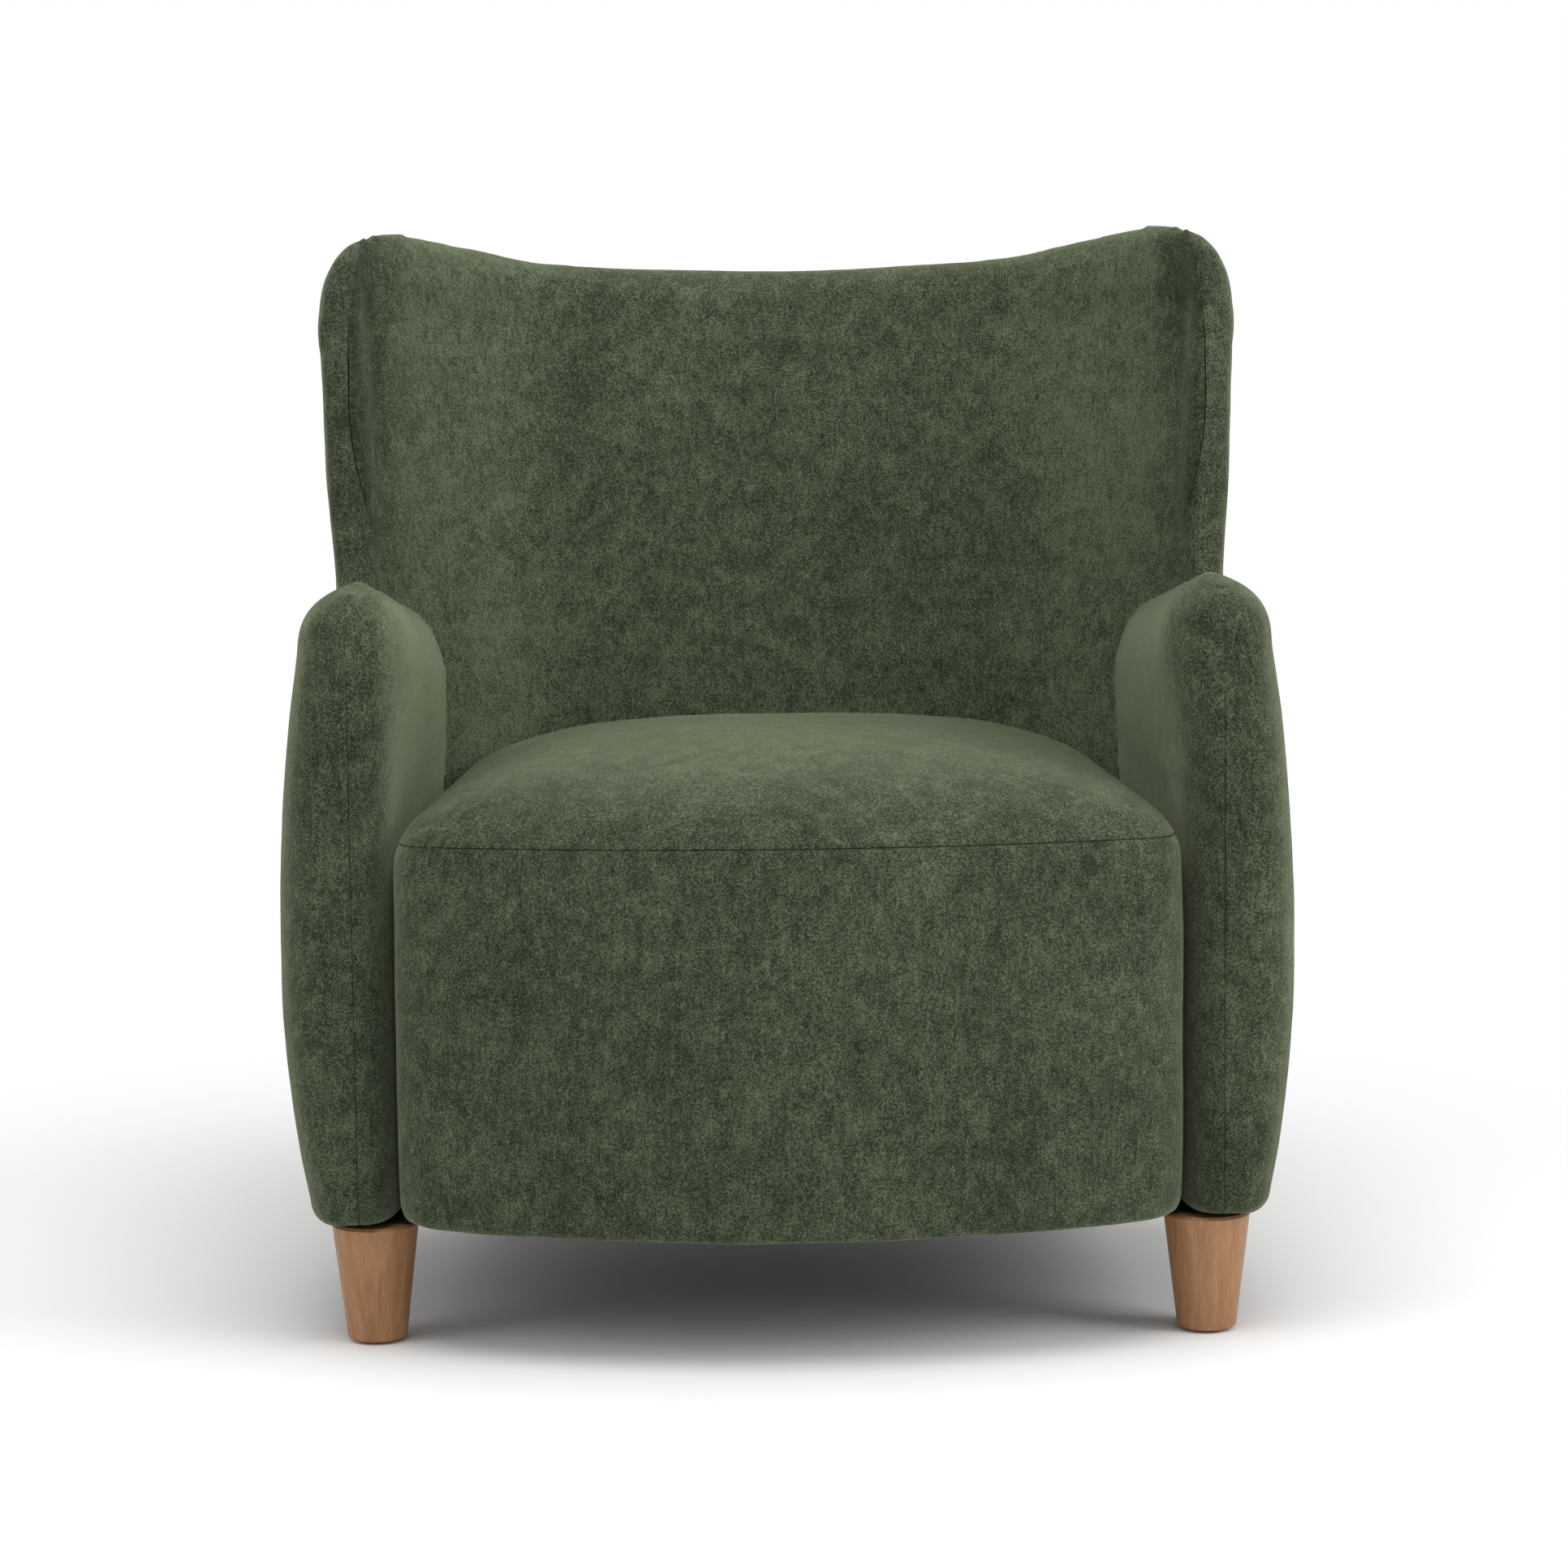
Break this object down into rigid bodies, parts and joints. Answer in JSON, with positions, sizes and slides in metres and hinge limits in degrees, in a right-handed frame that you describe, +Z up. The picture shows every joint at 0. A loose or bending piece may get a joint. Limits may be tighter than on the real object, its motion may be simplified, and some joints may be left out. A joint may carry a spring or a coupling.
{
  "type": "wingback armchair",
  "caption": "Upholstered wingback armchair with a crowned tight seat, rounded arms, a curved winged back and turned tapered wooden legs.",
  "frame": {"origin": "on the floor, under the middle of the chair's box", "axes": "+Z up, the chair faces -Y, +X to the viewer's right in a front view"},
  "size_m": [0.7862, 0.7338, 0.8566],
  "materials": {
    "velvet": "short-pile velvet",
    "foam": "open-cell foam",
    "leg_wood": "satin stained hardwood",
    "frame_wood": "sawn hardwood",
    "hardboard": "smooth board",
    "steel": "zinc plated",
    "webbing": "woven elastic",
    "felt": "needled felt",
    "dust_cloth": "thin non-woven",
    "glide": "moulded"
  },
  "bodies": {
    "root": {"arm_left_bolt_rail": "frame_wood", "arm_left_bottom_rail": "frame_wood", "arm_left_foam": "foam", "arm_left_front_post": "frame_wood", "arm_left_inner_cover": "velvet", "arm_left_outer_cover": "velvet", "arm_left_rear_post": "frame_wood", "arm_left_side_board": "hardboard", "arm_left_top_rail": "frame_wood", "arm_right_bolt_rail": "frame_wood", "arm_right_bottom_rail": "frame_wood", "arm_right_foam": "foam", "arm_right_front_post": "frame_wood", "arm_right_inner_cover": "velvet", "arm_right_outer_cover": "velvet", "arm_right_rear_post": "frame_wood", "arm_right_side_board": "hardboard", "arm_right_top_rail": "frame_wood", "back_base_rail": "frame_wood", "back_board": "hardboard", "back_bolts": "steel", "back_crest_rail": "frame_wood", "back_dowels": "frame_wood", "back_foam": "foam", "back_foot_rail": "frame_wood", "back_inside_cover": "velvet", "back_outside_cover": "velvet", "back_seat_rail": "frame_wood", "back_stile_left": "frame_wood", "back_stile_right": "frame_wood", "back_webbing": "webbing", "dust_cover": "dust_cloth", "dust_cover_staples": "steel", "hanger_bolts": "steel", "leg_front_left": "leg_wood", "leg_front_right": "leg_wood", "leg_glides": "glide", "leg_rear_left": "leg_wood", "leg_rear_right": "leg_wood", "seat_bolts": "steel", "seat_border_cover": "velvet", "seat_corner_blocks": "frame_wood", "seat_corner_screws": "steel", "seat_foam": "foam", "seat_front_rail": "frame_wood", "seat_rear_rail": "frame_wood", "seat_side_rail_left": "frame_wood", "seat_side_rail_right": "frame_wood", "seat_springs": "steel", "seat_top_cover": "velvet", "spring_clips": "steel", "spring_pad": "felt", "tee_nuts": "steel", "wing_band_left": "velvet", "wing_band_right": "velvet", "wing_post_left": "frame_wood", "wing_post_right": "frame_wood", "wing_spreaders_left": "frame_wood", "wing_spreaders_right": "frame_wood"}
  },
  "joints": []
}
